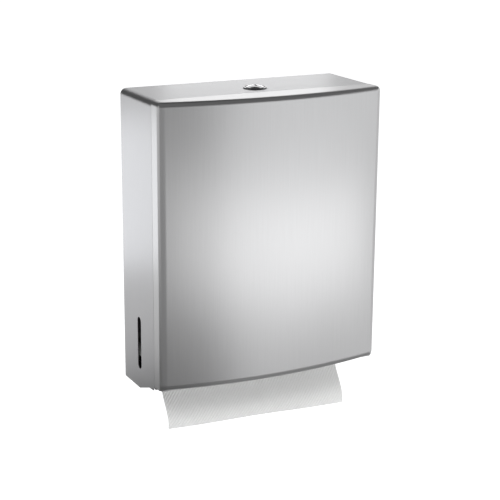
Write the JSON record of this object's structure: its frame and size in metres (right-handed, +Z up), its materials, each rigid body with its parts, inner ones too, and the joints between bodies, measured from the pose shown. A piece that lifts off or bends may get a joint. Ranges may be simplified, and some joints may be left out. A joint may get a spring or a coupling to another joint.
{
  "type": "paper towel dispenser",
  "caption": "Wall-hung folded paper towel dispenser: steel cabinet, bowed door hinged along its foot, cam lock in the top, refill slots in the sides, and a towel hanging from the outlet.",
  "frame": {"origin": "middle of the four wall holes, on the plane of the wall", "axes": "+Y into the wall, +Z up, +X to the right as seen from in front"},
  "size_m": [0.288, 0.13, 0.4072],
  "materials": {
    "brushed_steel": "satin stainless steel with a fine vertical grain",
    "mill_steel": "dull cold-rolled stainless steel",
    "hinge_steel": "plain drawn stainless steel",
    "chrome": "polished chrome plate",
    "zinc_plate": "bright zinc-plated steel",
    "brass": "plain stamped brass",
    "paper": "off-white embossed paper towel"
  },
  "bodies": {
    "cabinet": {"cabinet_wrap": "brushed_steel", "back_panel": "mill_steel", "towel_tray": "mill_steel", "hinge_cabinet_leaf": "hinge_steel", "hinge_cabinet_rivets": "hinge_steel", "hinge_pin": "hinge_steel", "lock_ring": "chrome", "lock_housing": "chrome", "lock_nut_washer": "zinc_plate", "lock_nut": "zinc_plate", "towel_stack": "paper", "hanging_towel": "paper"},
    "door": {"door_shell": "brushed_steel", "hinge_door_leaf": "hinge_steel", "hinge_door_rivets": "hinge_steel", "door_keeper": "mill_steel"},
    "lock_core": {"lock_plug": "chrome", "lock_wafers": "brass", "plug_clip": "zinc_plate", "stop_washer": "zinc_plate", "lock_cam": "zinc_plate", "cam_washer": "zinc_plate", "cam_screw": "zinc_plate"}
  },
  "joints": [
    {"name": "door_hinge", "type": "hinge", "parent": "cabinet", "child": "door", "pos_m": [0, -0.0886, -0.1728], "axis": [1, 0, 0], "range_deg": [0, 100]},
    {"name": "lock_turn", "type": "hinge", "parent": "cabinet", "child": "lock_core", "pos_m": [0, -0.064, 0.15], "axis": [0, 0, -1], "range_deg": [0, 90]}
  ]
}
